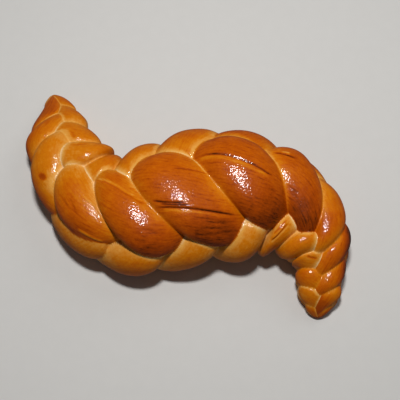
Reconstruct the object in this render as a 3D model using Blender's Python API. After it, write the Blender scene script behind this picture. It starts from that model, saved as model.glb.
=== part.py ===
"""Braided loaf: a plait of four ropes of dough, bent into an S, proved and baked in one piece.

Metres, +Z up. The loaf lies on its flat underside at z = 0, and the origin is under the
middle of its box. Its slim left end points to -X +Y and its right end to +X -Y.

The four ropes pass over each other in turn. Each pass shows as a long swollen lobe, so
the crust is four columns of lobes: one along the top, one along each side and one
underneath, each leaning across the loaf and tucked under the next column.
"""

import math

import bmesh
import bpy
import numpy as np

MM = 0.001

# The crossings of the ropes, from the left end to the right end. Between its two tips the
# loaf has twelve, one for each lobe along the top. Each row gives the middle of the loaf
# there (x, y), its half width and its height, how far the plait is rolled towards the left
# side, the heading of the loaf, and how far the side lobes lag behind the top ones, left
# and right. Millimetres, degrees, and lags as a share of the distance to the next crossing.
CROSSINGS = (
    # x,    y,  half, height, roll, heading, lags
    (-133, 110, 6, 7, -50, -68, -0.20, 0.10),
    (-121, 81, 22, 27, -50, -78, -0.25, 0.10),
    (-117, 56, 33, 41, -50, -80, -0.30, 0.10),
    (-104, 26, 39, 51, -50, -63, -0.35, 0.10),
    (-88, -1, 43, 58, -30, -32, -0.30, 0.10),
    (-50, -19, 56, 67, -15, 0, -0.35, 0.25),
    (2, -8, 65, 72, -10, 6, -0.30, 0.30),
    (58, -6, 61, 72, 0, -4, -0.45, 0.30),
    (93, -15, 47, 60, 20, -24, -0.50, 0.40),
    (113, -41, 36, 51, 35, -48, -0.40, 0.40),
    (118, -60, 27, 42, 35, -73, -0.30, 0.50),
    (116, -78, 22, 33, 40, -87, -0.25, 0.45),
    (116, -95, 17, 24, 35, -91, -0.20, 0.35),
    (114.5, -110, 5, 7, 30, -92, -0.20, 0.30),
)
LAST = len(CROSSINGS) - 1
TOP, LEFT, UNDER, RIGHT = range(4)  # the four columns of lobes

# The section of the loaf
WIDEST_SHARE = 0.40  # height of the widest place over the height
SQUARENESS = 2.3  # exponent of the rounded section: 2 is an ellipse
TIP_ROUNDING = 0.35  # length of each rounded tip, in crossings

# The lobes, in distances between crossings unless said otherwise
GIRTH = 1.15  # half width of the loaf over the distance between crossings
LOBE_HALF_LENGTH = (1.45, 1.15)  # of the top and bottom lobes, and of the side lobes
LOBE_LEAN = (math.radians(58.5), math.radians(72))  # from the way the loaf runs
LOBE_HALF_WIDTH = 0.50
LOBE_END_WIDTH = 0.35  # width of a lobe's ends over the width at its middle
LOBE_ROOT = (0.74, 0.79)  # radius of those lobes' edges, over the half width of the loaf
LOBE_SWELL = (0.29, 0.23)  # height of those lobes above their edges, over the half width
LOBE_SKIRT = 0.12  # how fast the dough falls away outside that edge, over the half width
LOBE_DIVE = 0.12  # how far a lobe's ends dive under its neighbours, over the half width
CORE = 0.68  # radius of the dough below the lobes, over the half width
OVERLAP_TILT = 0.10  # how much higher a lobe's upper margin is than the one that dives under
FULLEST = 7  # the lobe of the top column that overlaps both its neighbours
SEAM_SHARPNESS = 55  # higher makes narrower seams between lobes

# How single lobes differ from the regular plait: how far they sit along and across the loaf
# from their place (in crossings), how much further they lean (degrees), their length and
# width (shares), their height and how far their crown sits towards the left side (both over
# the half width of the loaf)
REGULAR = (0, 0, 0, 1, 1, 0, 0)
UNEVEN_LOBES = {
    (TOP, 1): (0, 0, 0, 1, 1.1, 0.08, 0),
    (TOP, 3): (0, -0.05, 0, 1.12, 0.93, 0.02, 0),
    (TOP, 4): (0, 0.04, 0, 0.86, 1, 0, 0),
    (TOP, 5): (0.03, 0.07, 0, 0.95, 0.94, 0, 0),
    (TOP, 6): (-0.03, 0.02, 0, 1, 1.03, 0, 0.09),
    (TOP, 7): (0.02, 0, 0, 1, 1.03, 0, 0.08),
    (TOP, 9): (0, 0, 0, 1, 1, 0.02, 0),
    (TOP, 10): (-0.05, 0.05, -4, 1.1, 1, 0, 0),
    (LEFT, 0): (0, 0, 0, 1, 1, -0.05, 0),
    (LEFT, 1): (0, 0, 0, 1, 1, -0.08, 0),
    (LEFT, 2): (0, 0, 0, 1, 1, -0.05, 0),
    (LEFT, 3): (0, 0, 0, 1.1, 1, 0.03, 0),
    (LEFT, 4): (0, 0, 0, 1, 1, -0.03, 0),
    (LEFT, 6): (0, 0, 0, 1, 1, -0.03, 0),
    (LEFT, 7): (-0.05, 0, 0, 1, 1, -0.03, 0),
    (LEFT, 8): (0.35, 0, 0, 1, 1, 0.04, 0),
    (UNDER, 1): (0, 0, 0, 1, 1, -0.10, 0),
    (UNDER, 2): (0, 0, 0, 1, 1, -0.12, 0),
    (UNDER, 3): (0, 0, 0, 1, 1, -0.08, 0),
    (UNDER, 8): (0, 0, 0, 1, 1, -0.14, 0),
    (UNDER, 9): (0, 0, 0, 1, 1, -0.14, 0),
    (UNDER, 10): (0, 0, 0, 1, 1, -0.12, 0),
    (UNDER, 11): (0, 0, 0, 1, 1, -0.08, 0),
    (RIGHT, 1): (0, 0, 0, 1, 1, 0.05, 0),
    (RIGHT, 2): (0, 0, 0, 1, 1, 0.12, 0),
    (RIGHT, 3): (0.34, 0, 0, 1.15, 1.15, 0.08, 0),
    (RIGHT, 4): (0.18, 0, -4, 1, 0.95, 0.01, 0),
    (RIGHT, 5): (0, 0, 0, 1, 1, -0.07, 0),
    (RIGHT, 6): (0, 0, 0, 1, 1, -0.08, 0),
    (RIGHT, 7): (-0.02, 0, -10, 0.85, 0.85, -0.03, 0),
    (RIGHT, 8): (-0.05, 0, -18, 1.1, 1, 0, 0),
    (RIGHT, 9): (0, 0, -6, 1, 1, 0, 0),
}

# The mesh
RINGS_PER_CROSSING = 20
SPOKES = 120
KEPT_FACES = 0.15  # share of the fine mesh's triangles that Decimate keeps


def between(rows, place):
    """The rows read at any place between them: a natural cubic spline, 0 at the first row."""
    rows = np.asarray(rows, float)
    count = len(rows)
    system = 4 * np.eye(count) + np.eye(count, k=1) + np.eye(count, k=-1)
    system[0], system[-1] = np.eye(count)[0], np.eye(count)[-1]
    bend = np.zeros_like(rows)
    bend[1:-1] = 6 * (rows[2:] - 2 * rows[1:-1] + rows[:-2])
    bend = np.linalg.solve(system, bend)
    start = np.clip(np.floor(place).astype(int), 0, count - 2)
    after = (place - start)[:, None]
    before = 1 - after
    straight = before * rows[start] + after * rows[start + 1]
    curved = (before**3 - before) * bend[start] + (after**3 - after) * bend[start + 1]
    return straight + curved / 6


def overlap(column, number):
    """Which margin of a lobe lies over its neighbour: -1 towards the left end, 1 the other."""
    if column % 2 or number == FULLEST:
        return 0
    return -1 if number < FULLEST else 1


def lobe_height(place, angle, column, number, crossing):
    """How far one lobe stands out from the loaf's middle line, over the half width."""
    side = column % 2
    turned = 1 if side else -1
    shift, slide, lean, stretch, girth, lift, crown = UNEVEN_LOBES.get((column, number), REGULAR)
    round_loaf = (angle - column * math.pi / 2 + math.pi) % (2 * math.pi) - math.pi
    across_loaf = round_loaf * GIRTH - slide
    along_loaf = place - crossing - shift
    lean = LOBE_LEAN[side] + math.radians(lean)
    along = along_loaf * math.cos(lean) + turned * across_loaf * math.sin(lean)
    across = across_loaf * math.cos(lean) - turned * along_loaf * math.sin(lean)
    from_middle = np.abs(along / LOBE_HALF_LENGTH[side] / stretch)
    fullness = np.clip(1 - from_middle**2.6, 0, None)
    spread = LOBE_END_WIDTH + (1 - LOBE_END_WIDTH) * np.sqrt(fullness)
    half_width = girth * LOBE_HALF_WIDTH * spread
    arch = 1 - (across / half_width) ** 2
    swell = LOBE_SWELL[side] * np.sqrt(np.clip(arch, 0, None)) * fullness**0.3
    skirt = LOBE_SKIRT * np.sqrt(np.clip(-arch, 0, None))
    tilt = OVERLAP_TILT * overlap(column, number) * np.tanh(across / half_width)
    root = LOBE_ROOT[side] + lift + tilt - crown * along * fullness
    return root - LOBE_DIVE * from_middle**2.5 + swell - skirt


def plait_radius(place, angle, roll):
    """Radius of the plait at a place along it and an angle round it, over the half width."""
    blend = np.exp(SEAM_SHARPNESS * CORE) * np.ones(np.broadcast(place, angle).shape)
    lags = np.asarray(CROSSINGS)[:, 6:]
    for column in (TOP, LEFT, UNDER, RIGHT):
        for number in range(-1, LAST + 3):
            crossing = number + 0.5 * (column % 2)
            if column % 2:
                crossing += np.interp(crossing, range(LAST + 1), lags[:, column // 2])
            height = lobe_height(place, angle - roll, column, number, crossing)
            blend += np.exp(SEAM_SHARPNESS * height)
    return np.log(blend) / SEAM_SHARPNESS


def crust_points(place, angle):
    """Points of the crust, in metres, from places along the loaf and angles round it."""
    x, y, half_width, height, roll, heading = between(CROSSINGS, place).T[:6]
    from_tip = np.clip(np.minimum(place, LAST - place) / TIP_ROUNDING, 0, 1)
    rounding = np.sqrt(1 - (1 - from_tip) ** 2)
    section = np.abs(np.sin(angle)) ** SQUARENESS + np.abs(np.cos(angle)) ** SQUARENESS
    radius = rounding * plait_radius(place, angle, np.radians(roll)) / section ** (1 / SQUARENESS)
    left = radius * np.sin(angle) * half_width
    rise = radius * np.cos(angle) * (1 - WIDEST_SHARE)
    heading = np.radians(heading)
    points = (
        x - np.sin(heading) * left,
        y + np.cos(heading) * left,
        height * (WIDEST_SHARE + rise),
    )
    return MM * np.stack(points, axis=1)


def crust_material():
    """Egg-washed crust, baked golden brown."""
    material = bpy.data.materials.new("golden_crust")
    material.use_nodes = True
    shader = material.node_tree.nodes["Principled BSDF"]
    shader.inputs["Base Color"].default_value = (0.45, 0.13, 0.012, 1)
    shader.inputs["Roughness"].default_value = 0.35
    shader.inputs["Metallic"].default_value = 0
    return material


def in_collection(name, thing):
    """Puts an object in the collection of that name, made if it isn't there."""
    collection = bpy.data.collections.get(name)
    if collection is None:
        collection = bpy.data.collections.new(name)
        bpy.context.scene.collection.children.link(collection)
    collection.objects.link(thing)
    return thing


def make_loaf():
    """A sphere drawn out along the loaf, its poles the two tips, and its skin the crust."""
    mesh = bpy.data.meshes.new("loaf")
    ball = bmesh.new()
    rings = RINGS_PER_CROSSING * LAST
    bmesh.ops.create_uvsphere(ball, u_segments=SPOKES, v_segments=rings, radius=1)
    sphere = np.array([vertex.co[:] for vertex in ball.verts], float)
    place = LAST * (1 - np.arccos(np.clip(sphere[:, 2], -1, 1)) / math.pi)
    angle = np.arctan2(sphere[:, 1], sphere[:, 0])
    points = crust_points(place, angle)
    middle = (points.min(axis=0) + points.max(axis=0)) / 2
    points[:, :2] -= middle[:2]
    for vertex, point in zip(ball.verts, points):
        vertex.co = point
    bmesh.ops.recalc_face_normals(ball, faces=ball.faces)
    ball.to_mesh(mesh)
    ball.free()
    mesh.materials.append(crust_material())
    mesh.shade_smooth()
    return in_collection("braided_loaf", bpy.data.objects.new("loaf", mesh))


def make_table_cutter():
    """The space below the table's top, which the underside is cut off by."""
    mesh = bpy.data.meshes.new("table_cutter")
    block = bmesh.new()
    bmesh.ops.create_cube(block, size=1)
    bmesh.ops.scale(block, verts=block.verts, vec=(0.5, 0.5, 0.1))
    bmesh.ops.translate(block, verts=block.verts, vec=(0, 0, -0.05))
    block.to_mesh(mesh)
    block.free()
    cutter = in_collection("cutters", bpy.data.objects.new("table_cutter", mesh))
    cutter.hide_render = True
    cutter.display_type = "WIRE"
    return cutter


def lighten(loaf):
    """Fewer triangles where the crust is smooth, and the same seams."""
    fewer = loaf.modifiers.new("fewer_triangles", "DECIMATE")
    fewer.ratio = KEPT_FACES


def flatten_underside(loaf, cutter):
    """The flat face that the loaf was baked on."""
    flat = loaf.modifiers.new("flat_underside", "BOOLEAN")
    flat.operation = "DIFFERENCE"
    flat.solver = "EXACT"
    flat.object = cutter


def main():
    for thing in list(bpy.data.objects):
        bpy.data.objects.remove(thing, do_unlink=True)
    loaf = make_loaf()
    lighten(loaf)
    flatten_underside(loaf, make_table_cutter())


if __name__ == "__main__":
    main()
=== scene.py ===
"""Braided loaf with an egg-washed crust, on a plain studio floor.

The loaf is a plait of four ropes of dough, bent into an S. Its skin is worked out from the
crossings of the ropes: each pass of a rope is a swollen lobe, and the crust is pale and
matt where the dough tore open along the seams, and brown and glossy on the crowns.
"""

import math

import bmesh
import bpy
import numpy as np
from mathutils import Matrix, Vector
from mathutils import noise as perlin


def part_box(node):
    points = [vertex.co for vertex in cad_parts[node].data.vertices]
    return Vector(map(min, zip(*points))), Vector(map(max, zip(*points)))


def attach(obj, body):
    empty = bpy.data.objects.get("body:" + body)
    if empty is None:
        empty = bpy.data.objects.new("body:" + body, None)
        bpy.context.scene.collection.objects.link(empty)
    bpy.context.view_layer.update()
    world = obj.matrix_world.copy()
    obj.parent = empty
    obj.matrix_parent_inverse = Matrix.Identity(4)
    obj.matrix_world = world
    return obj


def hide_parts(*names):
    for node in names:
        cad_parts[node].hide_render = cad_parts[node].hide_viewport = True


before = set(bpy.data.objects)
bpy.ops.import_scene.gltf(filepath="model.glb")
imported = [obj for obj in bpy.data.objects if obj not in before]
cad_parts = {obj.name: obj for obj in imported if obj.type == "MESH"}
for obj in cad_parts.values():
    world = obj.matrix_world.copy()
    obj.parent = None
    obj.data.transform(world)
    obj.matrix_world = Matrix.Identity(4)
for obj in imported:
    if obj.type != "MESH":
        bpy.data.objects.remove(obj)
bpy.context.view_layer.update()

bl_info = {
    "name": "Braided Loaf",
    "version": (1, 0, 0),
    "blender": (4, 5, 0),
    "location": "3D View > Sidebar > Bakery",
    "description": "Plaits a loaf, gives it an egg-washed crust and sets a plain studio",
    "category": "Add Mesh",
}

MM = 0.001

# The crossings of the ropes, from the left end to the right end: the middle of the loaf
# (x, y), its half width and height, how far the plait is rolled towards the left side, the
# heading, and how far the side lobes lag behind the top ones, left and right. Millimetres,
# degrees, and lags as a share of the distance to the next crossing.
CROSSINGS = (
    # x,    y,  half, height, roll, heading, lags
    (-133, 110, 6, 7, -50, -68, -0.20, 0.10),
    (-121, 81, 22, 27, -50, -78, -0.25, 0.10),
    (-117, 56, 33, 41, -50, -80, -0.30, 0.10),
    (-104, 26, 39, 51, -50, -63, -0.35, 0.10),
    (-88, -1, 43, 58, -30, -32, -0.30, 0.10),
    (-50, -19, 56, 67, -15, 0, -0.35, 0.25),
    (2, -8, 65, 72, -10, 6, -0.30, 0.30),
    (58, -6, 61, 72, 0, -4, -0.45, 0.30),
    (93, -15, 47, 60, 20, -24, -0.50, 0.40),
    (113, -41, 36, 51, 35, -48, -0.40, 0.40),
    (118, -60, 27, 42, 35, -73, -0.30, 0.50),
    (116, -78, 22, 33, 40, -87, -0.25, 0.45),
    (116, -95, 17, 24, 35, -91, -0.20, 0.35),
    (114.5, -110, 5, 7, 30, -92, -0.20, 0.30),
)
LAST = len(CROSSINGS) - 1
TOP, LEFT, UNDER, RIGHT = range(4)  # the four columns of lobes

WIDEST_SHARE = 0.40  # height of the widest place over the height
SQUARENESS = 2.3  # exponent of the rounded section: 2 is an ellipse
TIP_ROUNDING = 0.35  # length of each rounded tip, in crossings

# The lobes, in distances between crossings unless said otherwise
GIRTH = 1.15  # half width of the loaf over the distance between crossings
LOBE_HALF_LENGTH = (1.45, 1.15)  # of the top and bottom lobes, and of the side lobes
LOBE_LEAN = (math.radians(58.5), math.radians(72))  # from the way the loaf runs
GRAIN_LEAN = (math.radians(27), math.radians(60))  # of the stretch marks on those lobes
LOBE_HALF_WIDTH = 0.50
LOBE_END_WIDTH = 0.35  # width of a lobe's ends over the width at its middle
LOBE_ROOT = (0.74, 0.79)  # radius of those lobes' edges, over the half width of the loaf
LOBE_SWELL = (0.29, 0.23)  # height of those lobes above their edges, over the half width
LOBE_SKIRT = 0.12  # how fast the dough falls away outside that edge, over the half width
LOBE_DIVE = 0.12  # how far a lobe's ends dive under its neighbours, over the half width
CORE = 0.68  # radius of the dough below the lobes, over the half width
OVERLAP_TILT = 0.10  # how much higher a lobe's upper margin is than the one that dives under

# How single lobes differ from the regular plait: how far they sit along and across the loaf
# from their place (in crossings), how much further they lean (degrees), their length and
# width (shares), their height and how far their crown sits towards the left side (both over
# the half width of the loaf)
REGULAR = (0, 0, 0, 1, 1, 0, 0)
UNEVEN_LOBES = {
    (TOP, 1): (0, 0, 0, 1, 1.1, 0.08, 0),
    (TOP, 3): (0, -0.05, 0, 1.12, 0.93, 0.02, 0),
    (TOP, 4): (0, 0.04, 0, 0.86, 1, 0, 0),
    (TOP, 5): (0.03, 0.07, 0, 0.95, 0.94, 0, 0),
    (TOP, 6): (-0.03, 0.02, 0, 1, 1.03, 0, 0.09),
    (TOP, 7): (0.02, 0, 0, 1, 1.03, 0, 0.08),
    (TOP, 9): (0, 0, 0, 1, 1, 0.02, 0),
    (TOP, 10): (-0.05, 0.05, -4, 1.1, 1, 0, 0),
    (LEFT, 0): (0, 0, 0, 1, 1, -0.05, 0),
    (LEFT, 1): (0, 0, 0, 1, 1, -0.08, 0),
    (LEFT, 2): (0, 0, 0, 1, 1, -0.05, 0),
    (LEFT, 3): (0, 0, 0, 1.1, 1, 0.03, 0),
    (LEFT, 4): (0, 0, 0, 1, 1, -0.03, 0),
    (LEFT, 6): (0, 0, 0, 1, 1, -0.03, 0),
    (LEFT, 7): (-0.05, 0, 0, 1, 1, -0.03, 0),
    (LEFT, 8): (0.35, 0, 0, 1, 1, 0.04, 0),
    (UNDER, 1): (0, 0, 0, 1, 1, -0.10, 0),
    (UNDER, 2): (0, 0, 0, 1, 1, -0.12, 0),
    (UNDER, 3): (0, 0, 0, 1, 1, -0.08, 0),
    (UNDER, 8): (0, 0, 0, 1, 1, -0.14, 0),
    (UNDER, 9): (0, 0, 0, 1, 1, -0.14, 0),
    (UNDER, 10): (0, 0, 0, 1, 1, -0.12, 0),
    (UNDER, 11): (0, 0, 0, 1, 1, -0.08, 0),
    (RIGHT, 1): (0, 0, 0, 1, 1, 0.05, 0),
    (RIGHT, 2): (0, 0, 0, 1, 1, 0.12, 0),
    (RIGHT, 3): (0.34, 0, 0, 1.15, 1.15, 0.08, 0),
    (RIGHT, 4): (0.18, 0, -4, 1, 0.95, 0.01, 0),
    (RIGHT, 5): (0, 0, 0, 1, 1, -0.07, 0),
    (RIGHT, 6): (0, 0, 0, 1, 1, -0.08, 0),
    (RIGHT, 7): (-0.02, 0, -10, 0.85, 0.85, -0.03, 0),
    (RIGHT, 8): (-0.05, 0, -18, 1.1, 1, 0, 0),
    (RIGHT, 9): (0, 0, -6, 1, 1, 0, 0),
}

# Folds and creases that the dough kept from rolling: the lobe they are on, three points of
# each (along the loaf and across it, from the lobe's middle, in crossings), and its kind
CREASES = (
    (TOP, 4, (0.25, -0.50), (0.45, -0.60), (0.70, -0.75), "lip"),
    (TOP, 5, (-0.95, 0.75), (-0.25, 0.50), (0.35, 0.00), "tuck"),
    (TOP, 6, (-0.60, 0.00), (0.10, -0.25), (0.75, -0.60), "fold"),
    (TOP, 6, (-0.60, 0.12), (-0.35, 0.00), (-0.05, -0.10), "line"),
    (TOP, 6, (-0.50, 0.03), (-0.25, -0.07), (0.00, -0.15), "line"),
    (TOP, 6, (-0.25, 0.50), (0.05, 0.40), (0.30, 0.30), "faint"),
    (TOP, 7, (-0.90, 0.70), (-0.30, 0.40), (0.40, -0.05), "pleat"),
    (TOP, 8, (-0.75, 0.75), (-0.50, 0.55), (-0.25, 0.40), "line"),
    (TOP, 8, (-0.60, 0.65), (-0.50, 0.60), (-0.40, 0.55), "lip"),
    (RIGHT, 7, (-0.20, 0.35), (0.10, 0.45), (0.30, 0.75), "fold"),
    (RIGHT, 7, (-0.15, 0.50), (0.05, 0.60), (0.20, 0.80), "line"),
    (RIGHT, 9, (-0.15, 0.40), (0.10, 0.55), (0.25, 0.80), "line"),
)
# Depth, half width and step down to the right, in millimetres
CREASE_KINDS = {
    "fold": (0.8, 0.9, 1.8),
    "pleat": (0.45, 0.75, 1.1),
    "tuck": (0.12, 1.1, -2.6),
    "line": (0.6, 0.8, 0.3),
    "faint": (0.3, 0.8, 0.1),
    # a lip is a raised ridge, with a painted highlight along it
    "lip": (-1.0, 0.8, 0),
}
WRINKLE = (0.28, 0.9, 0.1)
# Fans of fine wrinkles: the lobe, the two outermost wrinkles as above, and how many
FANS = (
    (TOP, 6, ((-0.10, -0.30), (0.35, -0.50), (0.80, -0.70)), ((0.00, -0.60), (0.35, -0.75), (0.75, -0.90)), 6),
    (TOP, 5, ((0.15, -0.20), (0.40, -0.30), (0.65, -0.40)), ((0.15, -0.35), (0.40, -0.45), (0.60, -0.55)), 3),
    (TOP, 8, ((-0.45, 0.00), (-0.15, -0.20), (0.15, -0.35)), ((-0.35, -0.20), (-0.10, -0.40), (0.15, -0.55)), 4),
    (TOP, 4, ((-0.40, 0.30), (0.00, 0.10), (0.30, -0.20)), ((-0.50, 0.10), (-0.10, -0.10), (0.20, -0.30)), 5),
    (LEFT, 2, ((-0.10, -0.50), (0.05, -0.40), (0.20, -0.25)), ((0.00, -0.55), (0.15, -0.45), (0.30, -0.35)), 3),
    (LEFT, 3, ((-0.50, -0.65), (-0.40, -0.40), (-0.30, -0.20)), ((-0.40, -0.65), (-0.30, -0.40), (-0.20, -0.20)), 3),
)
# Blisters that scorched: the lobe, where on it, and the radius in millimetres
SCORCHES = ((TOP, 3, (0.10, 0.05), 3.2),)

# Side lobes that were never covered, so that they browned all over
OPEN_LOBES = ((RIGHT, 3), (RIGHT, 10))
# Lobes that browned more than their neighbours, and less
BROWNER = {
    (TOP, 1): 0.14, (TOP, 2): 0.11, (TOP, 3): -0.01, (TOP, 7): 0.02, (TOP, 8): 0.01, (TOP, 9): -0.06, (TOP, 10): 0.09, (TOP, 11): 0.03,
    (LEFT, 3): -0.06, (LEFT, 4): -0.05, (LEFT, 5): -0.05, (LEFT, 7): 0.12, (LEFT, 8): 0.12, (LEFT, 9): 0.15, (LEFT, 10): 0.15,
    (RIGHT, 1): 0.06, (RIGHT, 2): 0.04, (RIGHT, 3): 0.0, (RIGHT, 4): 0.02, (RIGHT, 5): 0.0, (RIGHT, 9): 0.0, (RIGHT, 10): 0.08,
}


def from_hex(code):
    """Linear colour of an sRGB hex code."""
    channels = [int(code[start : start + 2], 16) / 255 for start in (1, 3, 5)]
    return tuple(c / 12.92 if c <= 0.04045 else ((c + 0.055) / 1.055) ** 2.4 for c in channels)


def colour(name, code, about):
    """A colour setting with its default as a hex code."""
    return bpy.props.FloatVectorProperty(
        name=name, description=about, subtype="COLOR", size=3, min=0, max=1, default=from_hex(code)
    )


def length(name, millimetres, about):
    """A size setting, given in millimetres and kept in metres."""
    return bpy.props.FloatProperty(
        name=name, description=about, unit="LENGTH", min=0, precision=5, default=millimetres * MM
    )


class LoafSettings(bpy.types.PropertyGroup):
    """How finely the loaf is made and how rough its skin is."""

    rings: bpy.props.IntProperty(
        name="Rings", description="Rings of points from tip to tip", min=50, default=396
    )
    spokes: bpy.props.IntProperty(
        name="Spokes", description="Points in each ring", min=24, default=250
    )
    seam_sharpness: bpy.props.FloatProperty(
        name="Seam Sharpness", description="Higher makes narrower seams", min=10, default=65
    )
    unevenness: length("Unevenness", 1.0, "How far the dough bulges out of its plain shape")
    uneven_size: length("Bulge Size", 24, "Distance between bulges")
    pucker: length("Pucker", 0.22, "Depth of the fine stretch marks")
    edge_rounding: length("Edge Rounding", 3, "Rounding where the loaf meets the tray")


class CrustSettings(bpy.types.PropertyGroup):
    """Colours of the crust, from unbaked-looking seams to the darkest ends."""

    torn: colour("Torn Dough", "#ebcb9a", "Dough that tore open late and hardly browned")
    straw: colour("Straw", "#da9b44", "Edges of the seams")
    golden: colour("Golden", "#c97206", "Sides and margins of the lobes")
    amber: colour("Amber", "#b85600", "Most of the crowns")
    chestnut: colour("Chestnut", "#9e4000", "Brown crowns")
    # the darkest ends are partly deeper browning, partly painted shade
    mahogany: colour("Mahogany", "#702a00", "Darkest ends")
    # the darkest colour: scorched crust on the blisters, painted shade in the creases
    scorched_and_crease_shade: colour("Scorched", "#461a00", "Creases and blisters")
    peel_size: length("Peel Size", 1.9, "Distance between the tiny blisters of the egg wash")
    peel_depth: length("Peel Depth", 0.27, "Depth of the tiny blisters")
    streak_width: length("Streak Width", 1.6, "Width of the stretch marks' colour")
    freckle_size: length("Freckle Size", 3.0, "Size of the small darker spots")
    mottle_size: length("Mottle Size", 13, "Size of the patches that browned more")


class StudioSettings(bpy.types.PropertyGroup):
    """The floor, the lights and the camera."""

    floor: colour("Floor", "#cbc9c5", "Plain pale floor")
    ambient: bpy.props.FloatProperty(
        name="Ambient", description="Light from all round", min=0, default=0.07
    )
    key_power: bpy.props.FloatProperty(
        name="Key Power", description="Softbox over the far side", unit="POWER", min=0, default=8.8
    )
    fill_power: bpy.props.FloatProperty(
        name="Fill Power", description="Broad light from the far right", unit="POWER", min=0, default=2.5
    )
    distance: length("Camera Distance", 700, "From the lens to the loaf")
    elevation: bpy.props.FloatProperty(
        name="Camera Elevation", description="Above the floor", subtype="ANGLE",
        unit="ROTATION", default=math.radians(70),
    )
    lens: bpy.props.FloatProperty(
        name="Lens", description="Focal length", unit="CAMERA", min=10, default=70
    )


def between(rows, place):
    """The rows read at any place between them: a natural cubic spline, 0 at the first row."""
    rows = np.asarray(rows, float)
    count = len(rows)
    system = 4 * np.eye(count) + np.eye(count, k=1) + np.eye(count, k=-1)
    system[0], system[-1] = np.eye(count)[0], np.eye(count)[-1]
    bend = np.zeros_like(rows)
    bend[1:-1] = 6 * (rows[2:] - 2 * rows[1:-1] + rows[:-2])
    bend = np.linalg.solve(system, bend)
    start = np.clip(np.floor(place).astype(int), 0, count - 2)
    after = (place - start)[:, None]
    before = 1 - after
    straight = before * rows[start] + after * rows[start + 1]
    curved = (before**3 - before) * bend[start] + (after**3 - after) * bend[start + 1]
    return straight + curved / 6


def smooth_step(low, high, value):
    """0 below low, 1 above high, and a smooth rise between them."""
    share = np.clip((value - low) / (high - low), 0, 1)
    return share * share * (3 - 2 * share)


def turn(along, across, lean, column):
    """Distances along and across a line that leans over the loaf as that column's lobes do."""
    way = 1 if column % 2 else -1
    return (
        along * math.cos(lean) + way * across * math.sin(lean),
        across * math.cos(lean) - way * along * math.sin(lean),
    )


def lobe_centre(column, number):
    """The place of a lobe's middle along the loaf."""
    centre = number + 0.5 * (column % 2)
    if column % 2:
        lags = np.asarray(CROSSINGS)[:, 6 + column // 2]
        centre += np.interp(centre, range(LAST + 1), lags)
    return centre


def overlap(column, number):
    """Which margin of a lobe lies over its neighbour: -1 the one towards the left end, 1 the other."""
    if column % 2:
        return 0
    return -1 if number < 7 else int(number > 7)


def layer(column, number):
    """Which of two lobes that meet lies on top: the one with the higher layer."""
    if column == TOP:
        return 10.0 + min(number, 14.5 - number)
    return {LEFT: 1 + 0.1 * number, UNDER: -1, RIGHT: 1 - 0.1 * number}[column]


class Plait:
    """The plait's height field, read at many points, with the lobe that shows at each."""

    def __init__(self, place, angle, sharpness):
        self.place = place
        self.x, self.y, self.half, self.height, roll, heading = between(CROSSINGS, place).T[:6]
        self.heading = np.radians(heading)
        self.angle = angle
        self.unit = self.half / GIRTH  # millimetres to one crossing
        turned = angle - np.radians(roll)
        lobes = [(column, number) for column in (TOP, LEFT, UNDER, RIGHT) for number in range(-1, LAST + 3)]
        count = len(place)
        heights = np.full((len(lobes), count), CORE, dtype=np.float32)
        domes, ends, alongs, acrosses = (np.zeros_like(heights) for _ in range(4))
        blend = np.exp(sharpness * (np.full(count, CORE) - 1))
        for row, (column, number) in enumerate(lobes):
            around = (turned - column * math.pi / 2 + math.pi) % (2 * math.pi) - math.pi
            along = place - lobe_centre(column, number)
            near = np.flatnonzero(np.abs(along) < 2)
            alongs[row], acrosses[row] = along, around * GIRTH
            height, domes[row, near], ends[row, near] = self.lobe(
                along[near], around[near] * GIRTH, column, number
            )
            heights[row, near] = height
            blend[near] += np.exp(sharpness * (height - 1))
        self.radius = 1 + np.log(blend) / sharpness
        first, second, third = np.argsort(-heights, axis=0)[:3]
        here = np.arange(count)
        self.best, self.second, self.third = (heights[row, here] for row in (first, second, third))
        self.dome, self.end = domes[first, here], ends[first, here]
        self.along, self.across = alongs[first, here], acrosses[first, here]
        self.column, self.number = np.array(lobes)[first].T
        layers = np.array([layer(*lobe) for lobe in lobes])
        # how far the nearest lobe is that lies over each point's lobe, and the nearest under it
        higher = layers[:, None] > layers[first]
        lower = layers[:, None] < layers[first]
        self.gap_over = self.apart(np.where(higher, heights, 0).max(axis=0))
        self.gap_below = self.apart(np.where(lower, heights, 0).max(axis=0))

    @staticmethod
    def lobe(along_loaf, across_loaf, column, number):
        """Height of one lobe over the half width, its doming, and how near its end a point is."""
        side = column % 2
        shift, slide, lean, stretch, girth, lift, crown = UNEVEN_LOBES.get((column, number), REGULAR)
        lean = LOBE_LEAN[side] + math.radians(lean)
        along, across = turn(along_loaf - shift, across_loaf - slide, lean, column)
        from_middle = np.abs(along / LOBE_HALF_LENGTH[side] / stretch)
        fullness = np.clip(1 - from_middle**2.6, 0, None)
        half_width = girth * LOBE_HALF_WIDTH * (
            LOBE_END_WIDTH + (1 - LOBE_END_WIDTH) * np.sqrt(fullness)
        )
        arch = 1 - (across / half_width) ** 2
        lift = lift + OVERLAP_TILT * overlap(column, number) * np.tanh(across / half_width)
        lift = lift - crown * along * fullness
        dome = np.sqrt(np.clip(arch, 0, None)) * fullness**0.3
        skirt = LOBE_SKIRT * np.sqrt(np.clip(-arch, 0, None))
        swell = LOBE_SWELL[side] * dome - LOBE_DIVE * from_middle**2.5
        return LOBE_ROOT[side] + lift + swell - skirt, dome, from_middle

    def apart(self, other):
        """Rough distance to where another lobe takes over, in millimetres."""
        fall = 1.8  # how fast two lobes' heights part, over the distance to their seam
        return (self.best - other) * self.half / fall

    def on_lobe(self, column, number):
        return (self.column == column) & (self.number == number)


def curve_through(start, middle, end, count=160):
    """Points of the parabola through three points."""
    share = np.linspace(0, 1, count)[:, None]
    start, middle, end = (np.asarray(point, float) for point in (start, middle, end))
    return (
        start * (1 - share) * (1 - 2 * share) + middle * 4 * share * (1 - share) + end * share * (2 * share - 1)
    )


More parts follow.
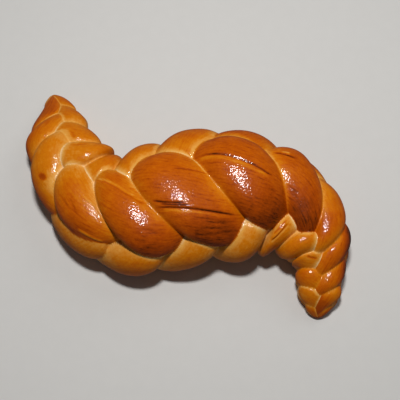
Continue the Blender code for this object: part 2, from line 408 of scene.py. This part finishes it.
def distance_to(curve, points):
    """Signed distance of each point to a curve, positive on its left, and the share along it."""
    gaps = points[:, None] - curve[None]
    nearest = np.argmin((gaps**2).sum(axis=2), axis=1)
    gap = gaps[np.arange(len(points)), nearest]
    way = np.gradient(curve, axis=0)[nearest]
    way /= np.linalg.norm(way, axis=1)[:, None]
    left = way[:, 0] * gap[:, 1] - way[:, 1] * gap[:, 0]
    beyond = np.linalg.norm(gap, axis=1)
    return np.where(left < 0, -beyond, beyond), nearest / (len(curve) - 1)


def press_creases(plait, relief, line, lap_and_lip_highlight):
    """Presses folds, wrinkles and scorched blisters into the relief, in millimetres, with painted shade in the
    creases' grooves and a painted highlight along each lip.
    """
    jobs = [(column, number, points, CREASE_KINDS[kind]) for column, number, *points, kind in CREASES]
    for column, number, first, last, count in FANS:
        for share in np.linspace(0, 1, count):
            points = [(1 - share) * np.asarray(a) + share * np.asarray(b) for a, b in zip(first, last)]
            jobs.append((column, number, points, WRINKLE))
    chance = np.random.default_rng(11)
    for column, number, points, (depth, width, step) in jobs:
        here = np.flatnonzero(plait.on_lobe(column, number))
        begin, end, darkness = 0, 1, 0.5
        if (depth, width, step) == WRINKLE:
            points = np.asarray(points) + chance.normal(0, 0.02, (3, 2))
            depth *= chance.uniform(0.5, 1.3)
            begin, end, darkness = chance.uniform(0, 0.35), chance.uniform(0.6, 1), 0.9
        where = np.stack([plait.along[here], plait.across[here]], axis=1)
        gap, share = distance_to(curve_through(*points), where)
        gap = gap * plait.unit[here]
        fade = smooth_step(begin, begin + 0.2, share) * (1 - smooth_step(end - 0.2, end, share))
        groove = np.exp(-((gap / width) ** 2))
        shelf = np.tanh(gap / width) * np.exp(-np.abs(gap) / 7)
        relief[here] += fade * (step / 2 * shelf - depth * groove)
        # painted shade: the groove of each crease and wrinkle is darkened along its line
        line[here] = np.maximum(line[here], fade * groove * min(1, depth / darkness))
        # the dough is paler on the low side of a fold; along a lip the pale streak is a painted highlight
        bared_and_lip_highlight = np.exp(-((gap + 2.2 * np.sign(step)) / 2) ** 2) * (1.6 if depth < 0 else min(1, abs(step)))
        lap_and_lip_highlight[here] = np.maximum(lap_and_lip_highlight[here], fade * bared_and_lip_highlight)
    for column, number, (along, across), radius in SCORCHES:
        here = np.flatnonzero(plait.on_lobe(column, number))
        gap = np.hypot(plait.along[here] - along, plait.across[here] - across) * plait.unit[here]
        relief[here] -= 0.3 * np.exp(-((gap / radius) ** 2))
        line[here] = np.maximum(line[here], 0.8 * (1 - smooth_step(0.6, 1.3, gap / radius)))


def bulges(points, size, seed):
    """Soft three-dimensional noise between about -1 and 1, with features of that size."""
    shift = Vector((seed, 2 * seed, 3 * seed))
    return np.array([perlin.noise(Vector(point) / size + shift) for point in points]) * 2


class CrustShape:
    """The loaf's surface: where each point of the skin is, and how it baked there."""

    def __init__(self, place, angle, loaf):
        plait = Plait(place, angle, loaf.seam_sharpness)
        relief = np.zeros(len(place))
        line = np.zeros(len(place))
        self.lap_and_lip_highlight = np.zeros(len(place))
        press_creases(plait, relief, line, self.lap_and_lip_highlight)
        base = self.points(plait, plait.radius, loaf)
        relief += loaf.unevenness / MM * 0.5 * bulges(base, loaf.uneven_size / MM, 7.3)
        self.co = self.points(plait, plait.radius + relief / plait.half, loaf)
        self.describe(plait, line)

    @staticmethod
    def points(plait, radius, loaf):
        """Points of the skin in millimetres, with the underside pressed flat on the tray."""
        from_tip = np.clip(np.minimum(plait.place, LAST - plait.place) / TIP_ROUNDING, 0, 1)
        rounding = np.sqrt(1 - (1 - from_tip) ** 2)
        sine, cosine = np.sin(plait.angle), np.cos(plait.angle)
        section = np.abs(sine) ** SQUARENESS + np.abs(cosine) ** SQUARENESS
        reach = rounding * radius / section ** (1 / SQUARENESS)
        left = reach * sine * plait.half
        up = plait.height * (WIDEST_SHARE + (1 - WIDEST_SHARE) * reach * cosine)
        edge = loaf.edge_rounding / MM
        up = (up + np.sqrt(up**2 + edge**2)) / 2
        x = plait.x - np.sin(plait.heading) * left
        y = plait.y + np.cos(plait.heading) * left
        return np.stack([x, y, up], axis=1)

    def describe(self, plait, line):
        """What the crust needs to know at each point."""
        side = plait.column % 2 == 1
        seam = plait.apart(plait.second)
        size = plait.half / 60
        # dough that was covered while it proved: pale where three lobes meet and where a side
        # lobe comes out from under a top one, and no more than a trace along the other seams
        ends = np.where(side, smooth_step(0.45, 0.95, plait.end), smooth_step(0.05, 0.7, plait.across))
        torn = (1 - smooth_step(0, np.where(side, 6.0, 3.5 + 5 * ends) * size, plait.gap_over))
        torn = np.maximum(torn * (0.38 + 0.60 * ends), 0.2 * (1 - smooth_step(0, 1.4 * size, plait.gap_below)))
        # the margin that dives under its neighbour browned less, and the upper one hardly so
        margin = 1 - smooth_step(0, np.where(side, 11, 14) * size, plait.gap_over)
        margin *= np.where(side, 0.8, 1)
        margin = np.maximum(margin, 0.5 * (1 - smooth_step(0, 3.5 * size, plait.gap_below)))
        corner = 1 - smooth_step(0, 9 * size, plait.apart(plait.third))
        apex = smooth_step(0.62, 0.98, plait.end) * (1 - smooth_step(4 * size, 18 * size, seam))
        self.torn = np.maximum(torn, np.maximum(0.9 * corner, np.where(side, apex, 0)) * (0.4 + 0.6 * torn))
        # the margin also carries the painted highlight along each lip
        self.margin = np.maximum(margin, 0.9 * self.lap_and_lip_highlight)
        self.margin[plait.on_lobe(TOP, 4)] *= 1.1
        for lobe in OPEN_LOBES:
            self.torn[plait.on_lobe(*lobe)] *= 0.25
            self.margin[plait.on_lobe(*lobe)] *= 0.4
        along, across = np.zeros_like(plait.along), np.zeros_like(plait.along)
        for column in (TOP, LEFT, UNDER, RIGHT):
            here = plait.column == column
            turned = turn(plait.along[here], plait.across[here], GRAIN_LEAN[column % 2], column)
            along[here], across[here] = turned
        which = plait.number * 31.0 + plait.column * 7.0
        self.grain = np.stack([along * plait.unit, across * plait.unit, which], axis=1)
        self.line = line
        top = plait.column == TOP
        browning = np.where(top, 0.56 + 0.06 * plait.dome, 0.41 + 0.09 * plait.dome)
        bend = smooth_step(8.9, 9.6, plait.place) * (1 - smooth_step(11.0, 12.0, plait.place))
        # each top lobe goes from amber where it rises to mahogany where it dives on the right: partly deeper
        # browning, partly painted shade on the end turned away from the light
        browning += np.where(top, 0.26 * (1 - 0.8 * bend) * smooth_step(-0.1, 0.85, -plait.across), 0)
        middle = smooth_step(3.2, 5.2, plait.place) * (1 - smooth_step(9.0, 10.0, plait.place))
        browning -= np.where(top, 0.14, 0.03) * (1 - middle)
        browning += np.where(plait.column == LEFT, 0.04, 0) - np.where(plait.column == RIGHT, 0.05, 0)
        # the left arm is the palest part, and the right tip caught the heat
        browning -= 0.05 * (smooth_step(0.8, 1.6, plait.place) - smooth_step(3.2, 4.0, plait.place))
        browning += 0.14 * smooth_step(11.8, 13.0, plait.place)
        # round the right bend the outside is darker: painted shade along the outer edge
        browning += np.where(top, 0.46 * bend * smooth_step(-0.2, 0.6, plait.across), 0)
        for lobe, more in BROWNER.items():
            browning[plait.on_lobe(*lobe)] += more
        self.browning = browning


def arc_places(count):
    """Places along the loaf, from 0 to 1, so spaced that rings are about as far apart all along."""
    fine = np.linspace(0, LAST, 4000)
    rows = between(CROSSINGS, fine)
    step = np.hypot(np.diff(rows[:, 0]), np.diff(rows[:, 1])) + 0.15 * np.diff(fine) * 10
    run = np.concatenate([[0], np.cumsum(step)])
    return lambda share: np.interp(share * run[-1], run, fine)


class BAKERY_OT_make_loaf(bpy.types.Operator):
    """Plait the loaf, press its folds and wrinkles, and give it its crust"""

    bl_idname = "bakery.make_loaf"
    bl_label = "Make Loaf"
    bl_options = {"REGISTER", "UNDO"}

    def execute(self, context):
        loaf = context.scene.bakery_loaf
        ball = bmesh.new()
        bmesh.ops.create_uvsphere(ball, u_segments=loaf.spokes, v_segments=loaf.rings, radius=1)
        mesh = bpy.data.meshes.new("crust")
        ball.to_mesh(mesh)
        ball.free()
        sphere = np.empty(len(mesh.vertices) * 3)
        mesh.vertices.foreach_get("co", sphere)
        sphere = sphere.reshape(-1, 3)
        share = 1 - np.arccos(np.clip(sphere[:, 2], -1, 1)) / math.pi
        place = arc_places(loaf.rings)(share)
        spoke = np.arctan2(sphere[:, 1], sphere[:, 0])
        angle = spoke - 0.65 * np.sin(spoke)
        shape = CrustShape(place, angle, loaf)
        points = shape.co * MM
        low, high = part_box("loaf")
        middle = (points.min(axis=0) + points.max(axis=0)) / 2
        points[:, 0] += (low.x + high.x) / 2 - middle[0]
        points[:, 1] += (low.y + high.y) / 2 - middle[1]
        mesh.vertices.foreach_set("co", points.ravel())
        mesh.flip_normals()
        for name, values in (("torn", shape.torn), ("margin", shape.margin), ("browning", shape.browning), ("line", shape.line)):
            mesh.attributes.new(name, "FLOAT", "POINT").data.foreach_set("value", values)
        mesh.attributes.new("grain", "FLOAT_VECTOR", "POINT").data.foreach_set("vector", shape.grain.ravel())
        mesh.shade_smooth()
        mesh.update()
        crust = bpy.data.objects.new("crust", mesh)
        context.scene.collection.objects.link(crust)
        mesh.materials.append(egg_washed_crust(context.scene.bakery_crust))
        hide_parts("loaf")
        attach(crust, "root")
        return {"FINISHED"}


def add(tree, kind, inputs=None, **settings):
    """Adds a node. An input that is a socket is linked, and any other is set."""
    node = tree.nodes.new("ShaderNode" + kind)
    for name, value in settings.items():
        setattr(node, name, value)
    for name, value in (inputs or {}).items():
        if isinstance(value, bpy.types.NodeSocket):
            tree.links.new(value, node.inputs[name])
        else:
            node.inputs[name].default_value = value
    return node


def egg_washed_crust(look):
    """Bread crust under a baked film of beaten egg.

    Enriched dough browns from straw to mahogany as it bakes. The egg dries to a thin glossy
    skin full of tiny blisters, so highlights break up into sparks. Where the lobes swelled
    apart, the dough under them tore late, and stays pale and matt.
    """
    material = bpy.data.materials.new("egg_washed_crust")
    material.use_nodes = True
    tree = material.node_tree
    shader = tree.nodes["Principled BSDF"]

    place = add(tree, "TexCoord").outputs["Object"]
    torn = add(tree, "Attribute", attribute_name="torn").outputs["Fac"]
    margin = add(tree, "Attribute", attribute_name="margin").outputs["Fac"]
    baked = add(tree, "Attribute", attribute_name="browning").outputs["Fac"]
    # line: painted shade in the creases' grooves, and the scorched blisters' own colour
    line = add(tree, "Attribute", attribute_name="line").outputs["Fac"]
    grain = add(tree, "Attribute", attribute_name="grain").outputs["Vector"]

    mottle = add(
        tree, "TexNoise", {"Vector": place, "Scale": 1 / look.mottle_size, "Detail": 4.0, "Roughness": 0.6}
    ).outputs["Fac"]
    freckles = add(
        tree, "TexNoise", {"Vector": place, "Scale": 1 / look.freckle_size, "Detail": 3.0, "Roughness": 0.7}
    ).outputs["Fac"]
    marks = add(
        tree, "Mapping", {"Vector": grain, "Scale": (0.13 * MM / look.streak_width, MM / look.streak_width, 1.0)}
    ).outputs["Vector"]
    streaks = add(
        tree, "TexNoise", {"Vector": marks, "Scale": 1.0, "Detail": 3.0, "Roughness": 0.65}
    ).outputs["Fac"]
    peel = add(
        tree, "TexNoise", {"Vector": place, "Scale": 1 / look.peel_size, "Detail": 1.0}
    ).outputs["Fac"]

    patches = add(tree, "Math", {0: mottle, 1: 0.5}, operation="SUBTRACT").outputs[0]
    # The grain of the pulled dough shows where the skin browned, and hardly on the pale lobes
    drawn = add(
        tree, "MapRange", {"Value": baked, "From Min": 0.42, "From Max": 0.62, "To Min": 0.35}
    ).outputs["Result"]
    stripes = add(tree, "Math", {0: streaks, 1: 0.5}, operation="SUBTRACT").outputs[0]
    stripes = add(tree, "Math", {0: stripes, 1: drawn}, operation="MULTIPLY").outputs[0]
    # The torn edge of a seam wanders
    wander = add(tree, "Math", {0: patches, 1: 0.8, 2: torn}, operation="MULTIPLY_ADD", use_clamp=True).outputs[0]
    bare = add(tree, "Math", {0: wander, 1: torn}, operation="MULTIPLY").outputs[0]
    toned = add(tree, "Math", {0: patches, 1: 0.30, 2: baked}, operation="MULTIPLY_ADD").outputs[0]
    spots = add(tree, "Math", {0: freckles, 1: 0.5}, operation="SUBTRACT").outputs[0]
    toned = add(tree, "Math", {0: spots, 1: 0.22, 2: toned}, operation="MULTIPLY_ADD").outputs[0]
    toned = add(tree, "Math", {0: stripes, 1: 0.34, 2: toned}, operation="MULTIPLY_ADD").outputs[0]
    # Where the skin was stretched hardest it split into fine dark threads
    threads = add(
        tree, "MapRange", {"Value": streaks, "From Min": 0.57, "From Max": 0.72, "To Max": 0.13}
    ).outputs["Result"]
    toned = add(tree, "Math", {0: threads, 1: drawn, 2: toned}, operation="MULTIPLY_ADD").outputs[0]
    # paler margins: dough that browned less under its neighbour, and the painted highlight along each lip
    toned = add(tree, "Math", {0: margin, 1: -0.26, 2: toned}, operation="MULTIPLY_ADD").outputs[0]
    kept = add(tree, "Math", {0: bare, 1: -0.85, 2: 1.0}, operation="MULTIPLY_ADD").outputs[0]
    toned = add(tree, "Math", {0: toned, 1: kept}, operation="MULTIPLY").outputs[0]
    # Darker along the lines: painted shade in the grooves of creases and wrinkles, and the scorched blisters' own
    # colour
    toned = add(tree, "Math", {0: line, 1: 0.42, 2: toned}, operation="MULTIPLY_ADD").outputs[0]

    ramp = add(tree, "ValToRGB", {"Fac": toned})
    stops = (
        (0.0, look.torn), (0.18, look.straw), (0.38, look.golden),
        (0.56, look.amber), (0.74, look.chestnut), (0.92, look.mahogany), (1.0, look.scorched_and_crease_shade),
    )
    band = ramp.color_ramp
    while len(band.elements) < len(stops):
        band.elements.new(0.5)
    for element, (position, tone) in zip(band.elements, stops):
        element.position = position
        element.color = (*tone, 1)
    tree.links.new(ramp.outputs["Color"], shader.inputs["Base Color"])

    matt = add(
        tree, "MapRange", {"Value": bare, "To Min": 0.40, "To Max": 0.62}
    ).outputs["Result"]
    tree.links.new(matt, shader.inputs["Roughness"])

    film = add(tree, "Bump", {"Height": peel, "Strength": 1.0, "Distance": look.peel_depth})
    pulled = add(
        tree, "Bump", {"Height": streaks, "Strength": 0.5, "Distance": 0.3 * MM, "Normal": film.outputs["Normal"]}
    )
    tree.links.new(pulled.outputs["Normal"], shader.inputs["Normal"])
    tree.links.new(pulled.outputs["Normal"], shader.inputs["Coat Normal"])
    shader.inputs["IOR"].default_value = 1.45
    shader.inputs["Specular IOR Level"].default_value = 0.05
    shader.inputs["Coat Weight"].default_value = 0.45
    shader.inputs["Coat Roughness"].default_value = 0.09
    shader.inputs["Coat IOR"].default_value = 1.5
    return material


def studio_floor(look):
    """Matt painted board: plain, pale and hardly shiny."""
    material = bpy.data.materials.new("matt_painted_board")
    material.use_nodes = True
    tree = material.node_tree
    shader = tree.nodes["Principled BSDF"]
    place = add(tree, "TexCoord").outputs["Object"]
    speckle = add(tree, "TexNoise", {"Vector": place, "Scale": 90.0, "Detail": 3.0}).outputs["Fac"]
    darker = tuple(0.96 * channel for channel in look.floor)
    tone = add(
        tree, "Mix", {"Factor": speckle, "A": (*darker, 1), "B": (*look.floor, 1)}, data_type="RGBA"
    )
    tree.links.new(tone.outputs["Result"], shader.inputs["Base Color"])
    shader.inputs["Roughness"].default_value = 0.85
    return material


def softbox(name, at, aim, size, power):
    """A rectangular softbox at a point, turned to another."""
    light = bpy.data.lights.new(name, "AREA")
    light.shape = "RECTANGLE"
    light.size, light.size_y = size
    light.energy = power
    lamp = bpy.data.objects.new(name, light)
    lamp.location = at
    lamp.rotation_euler = (Vector(aim) - Vector(at)).to_track_quat("-Z", "Y").to_euler()
    bpy.context.scene.collection.objects.link(lamp)
    return lamp


class BAKERY_OT_set_stage(bpy.types.Operator):
    """Lay the floor, hang the lights and place the camera"""

    bl_idname = "bakery.set_stage"
    bl_label = "Set Stage"
    bl_options = {"REGISTER", "UNDO"}

    def execute(self, context):
        look = context.scene.bakery_studio
        bpy.ops.mesh.primitive_plane_add(size=6)
        floor = context.object
        floor.name = "floor"
        floor.data.materials.append(studio_floor(look))

        world = bpy.data.worlds.new("studio")
        world.use_nodes = True
        sky = world.node_tree.nodes["Background"]
        sky.inputs["Color"].default_value = (*from_hex("#f4f6fa"), 1)
        sky.inputs["Strength"].default_value = look.ambient
        context.scene.world = world

        low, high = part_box("loaf")
        middle = (low + high) / 2
        softbox("key", (0.0, 0.14, 1.02), middle, (0.14, 0.09), look.key_power)
        fill = softbox("fill", (0.7, 0.6, 0.9), middle, (0.7, 0.7), look.fill_power)
        # Neither the fill nor the floor shows in the glaze, so that the crust keeps its own tone
        fill.visible_glossy = floor.visible_glossy = False

        aim = Vector((middle.x + 0.014, middle.y - 0.007, 0.025))
        back = Vector((0, -math.cos(look.elevation), math.sin(look.elevation)))
        eye = bpy.data.cameras.new("camera")
        eye.lens = look.lens
        camera = bpy.data.objects.new("camera", eye)
        camera.location = aim + back * look.distance
        camera.rotation_euler = (-back).to_track_quat("-Z", "Y").to_euler()
        context.scene.collection.objects.link(camera)
        context.scene.camera = camera
        context.scene.view_settings.view_transform = "Standard"
        return {"FINISHED"}


class BAKERY_PT_loaf(bpy.types.Panel):
    """The loaf's settings and the steps that make it"""

    bl_label = "Braided Loaf"
    bl_idname = "BAKERY_PT_loaf"
    bl_space_type = "VIEW_3D"
    bl_region_type = "UI"
    bl_category = "Bakery"

    def draw(self, context):
        for title, settings in (
            ("Loaf", context.scene.bakery_loaf),
            ("Crust", context.scene.bakery_crust),
            ("Studio", context.scene.bakery_studio),
        ):
            box = self.layout.box()
            box.label(text=title)
            for name in type(settings).__annotations__:
                box.prop(settings, name)
        self.layout.operator(BAKERY_OT_make_loaf.bl_idname)
        self.layout.operator(BAKERY_OT_set_stage.bl_idname)


CLASSES = (
    LoafSettings,
    CrustSettings,
    StudioSettings,
    BAKERY_OT_make_loaf,
    BAKERY_OT_set_stage,
    BAKERY_PT_loaf,
)


def register():
    for cls in CLASSES:
        bpy.utils.register_class(cls)
    bpy.types.Scene.bakery_loaf = bpy.props.PointerProperty(type=LoafSettings)
    bpy.types.Scene.bakery_crust = bpy.props.PointerProperty(type=CrustSettings)
    bpy.types.Scene.bakery_studio = bpy.props.PointerProperty(type=StudioSettings)


def unregister():
    del bpy.types.Scene.bakery_loaf
    del bpy.types.Scene.bakery_crust
    del bpy.types.Scene.bakery_studio
    for cls in reversed(CLASSES):
        bpy.utils.unregister_class(cls)


def main():
    register()
    bpy.ops.bakery.make_loaf()
    bpy.ops.bakery.set_stage()


if __name__ == "__main__":
    main()
